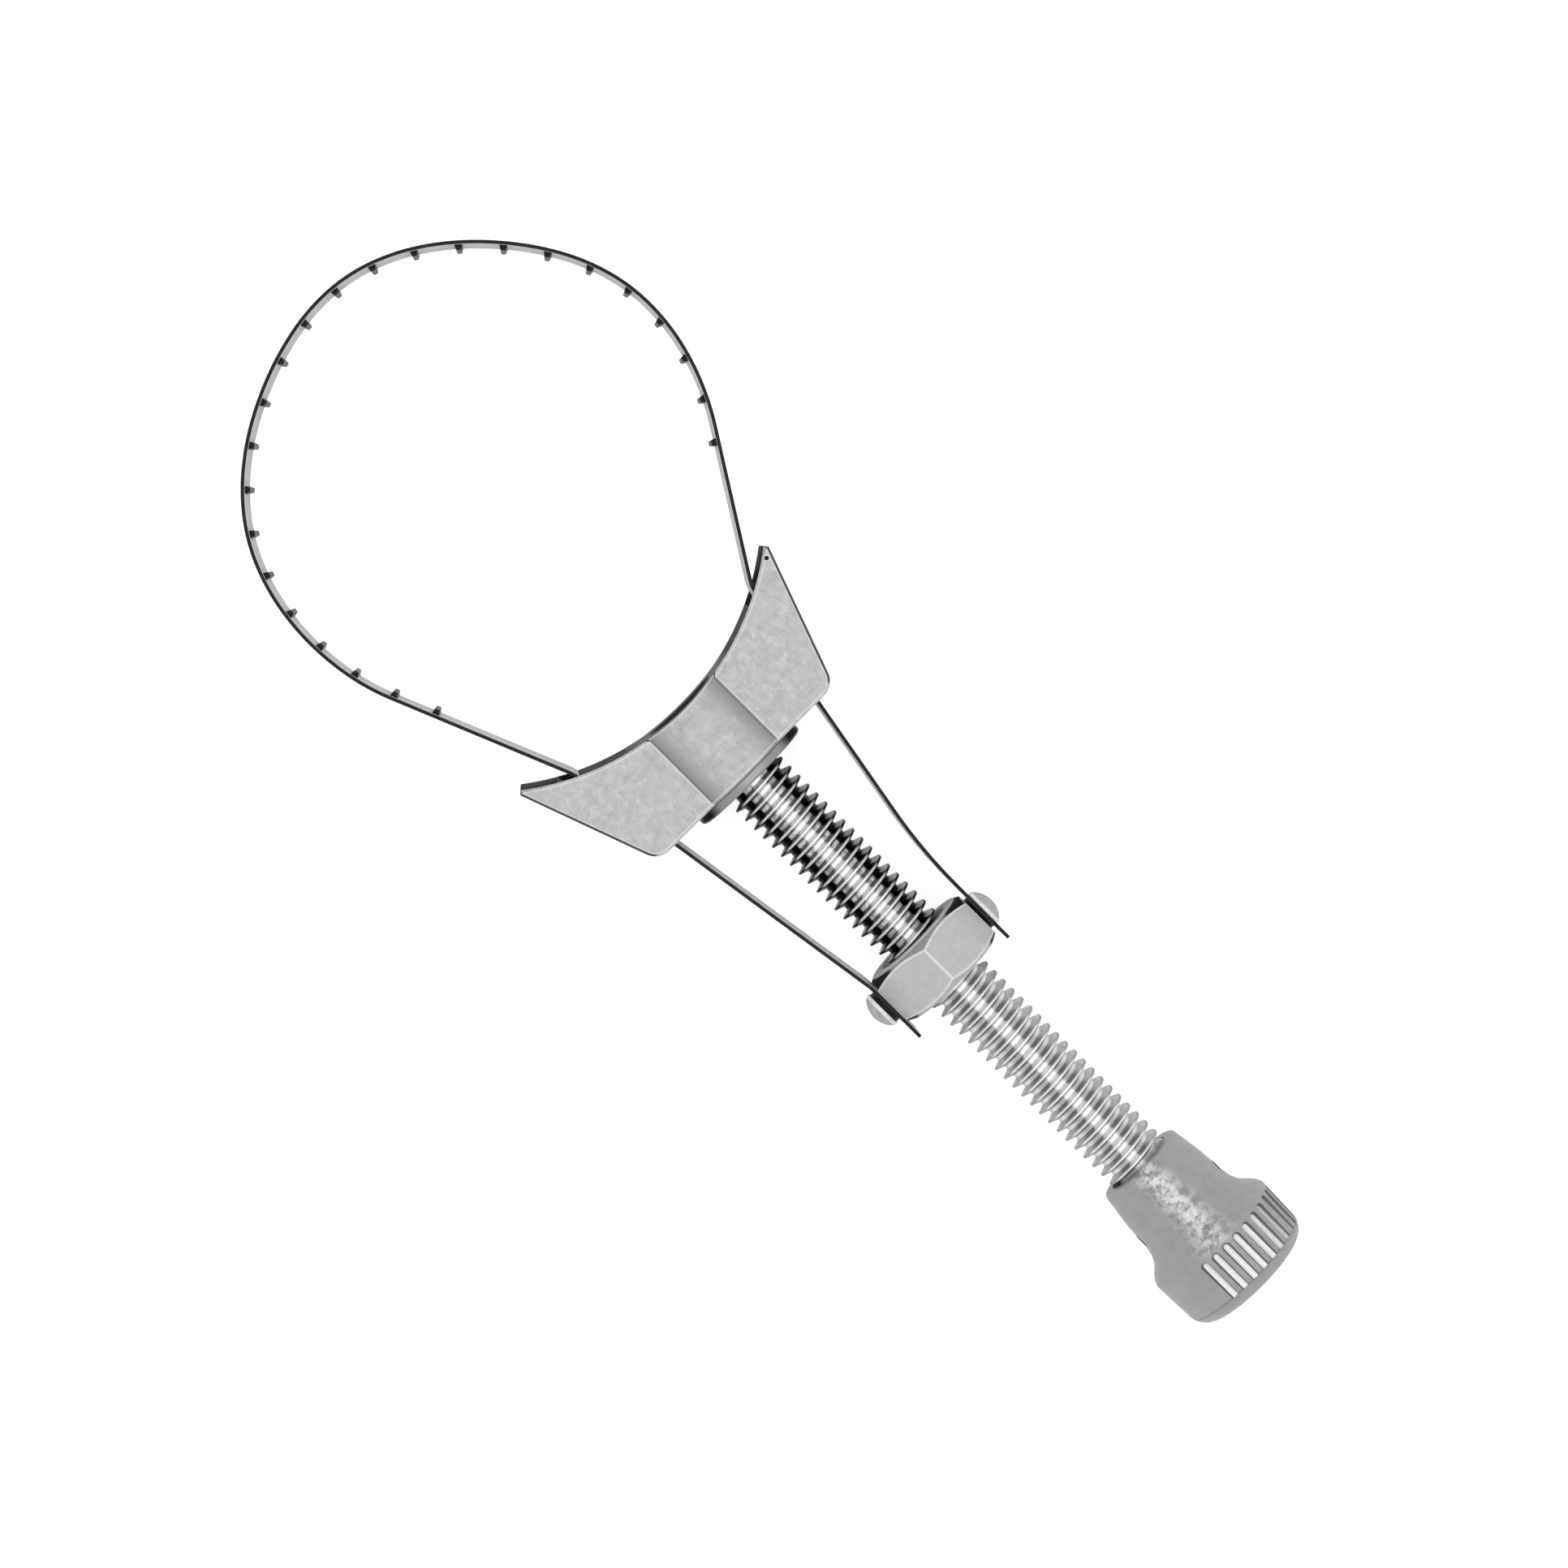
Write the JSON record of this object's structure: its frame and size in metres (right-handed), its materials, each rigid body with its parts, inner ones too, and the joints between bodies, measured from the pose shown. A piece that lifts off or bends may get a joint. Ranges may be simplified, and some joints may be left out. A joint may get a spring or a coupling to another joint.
{
  "type": "filter wrench",
  "caption": "Adjustable steel-band filter wrench: a toothed band loop drawn through a cast saddle by a nut on a threaded rod, turned by a fluted knob.",
  "frame": {"origin": "middle of the knob's flat end face, on the screw's axis", "axes": "+Y along the screw towards the band loop, +Z along the band's width, which is up when the wrench lies flat, +X across the saddle"},
  "size_m": [0.0939, 0.2672, 0.03],
  "materials": {
    "casting": "satin",
    "knob_casting": "satin",
    "screw_steel": "gloss",
    "nut_steel": "satin",
    "washer_steel": "satin",
    "screw_head_steel": "gloss",
    "dark_steel": "satin",
    "band_steel": "satin"
  },
  "bodies": {
    "saddle_body": {"saddle": "casting", "thrust_washer": "washer_steel", "retaining_washer": "washer_steel"},
    "screw_body": {"screw_rod": "screw_steel", "knob": "knob_casting", "knob_pin": "dark_steel", "retaining_clip": "dark_steel"},
    "nut_body": {"travelling_nut": "nut_steel", "band_screw_left": "screw_head_steel", "band_screw_right": "screw_head_steel", "lock_washer_left": "dark_steel", "spacer_washer_right": "dark_steel", "band_left_tail": "band_steel", "band_right_tail": "band_steel"},
    "left_flank_body": {"band_left_flank": "band_steel"},
    "left_shoulder_body": {"band_left_shoulder": "band_steel"},
    "left_crown_body": {"band_left_crown": "band_steel"},
    "right_flank_body": {"band_right_flank": "band_steel"},
    "right_shoulder_body": {"band_right_shoulder": "band_steel"},
    "right_crown_body": {"band_right_crown": "band_steel"}
  },
  "joints": [
    {"name": "screw_turn", "type": "hinge", "parent": "saddle_body", "child": "screw_body", "pos_m": [0, 0, 0], "axis": [0, 1, 0], "range_deg": [-5400, 7200]},
    {"name": "nut_travel", "type": "slide", "parent": "saddle_body", "child": "nut_body", "axis": [0, 1, 0], "range_m": [-0.05, 0.0375], "deforming": ["band_left_tail", "band_right_tail"]},
    {"name": "left_flank_draw", "type": "slide", "parent": "saddle_body", "child": "left_flank_body", "axis": [-0.3378, 0.9412, 0], "range_m": [-0.02993, 0.02245], "deforming": ["band_left_flank"]},
    {"name": "left_shoulder_draw", "type": "slide", "parent": "left_flank_body", "child": "left_shoulder_body", "axis": [0.4345, 0.9007, 0], "range_m": [-0.00929, 0.00697], "deforming": ["band_left_shoulder"]},
    {"name": "left_crown_draw", "type": "slide", "parent": "left_shoulder_body", "child": "left_crown_body", "axis": [0.9353, 0.3538, 0], "range_m": [-0.00929, 0.00697], "deforming": ["band_left_crown"]},
    {"name": "right_flank_draw", "type": "slide", "parent": "saddle_body", "child": "right_flank_body", "axis": [0.4736, 0.8807, 0], "range_m": [-0.03147, 0.0236], "deforming": ["band_right_flank"]},
    {"name": "right_shoulder_draw", "type": "slide", "parent": "right_flank_body", "child": "right_shoulder_body", "axis": [-0.4015, 0.9159, 0], "range_m": [-0.00929, 0.00697], "deforming": ["band_right_shoulder"]},
    {"name": "right_crown_draw", "type": "slide", "parent": "right_shoulder_body", "child": "right_crown_body", "axis": [-0.9218, 0.3876, 0], "range_m": [-0.00929, 0.00697], "deforming": ["band_right_crown"]}
  ],
  "couplings": [
    {"joint": "screw_turn", "follows": "nut_travel", "rad_per_m": -2513.3},
    {"joint": "left_flank_draw", "follows": "nut_travel", "ratio": 0.59868},
    {"joint": "left_shoulder_draw", "follows": "nut_travel", "ratio": 0.18578},
    {"joint": "left_crown_draw", "follows": "nut_travel", "ratio": 0.18578},
    {"joint": "right_flank_draw", "follows": "nut_travel", "ratio": 0.62944},
    {"joint": "right_shoulder_draw", "follows": "nut_travel", "ratio": 0.18578},
    {"joint": "right_crown_draw", "follows": "nut_travel", "ratio": 0.18578}
  ]
}
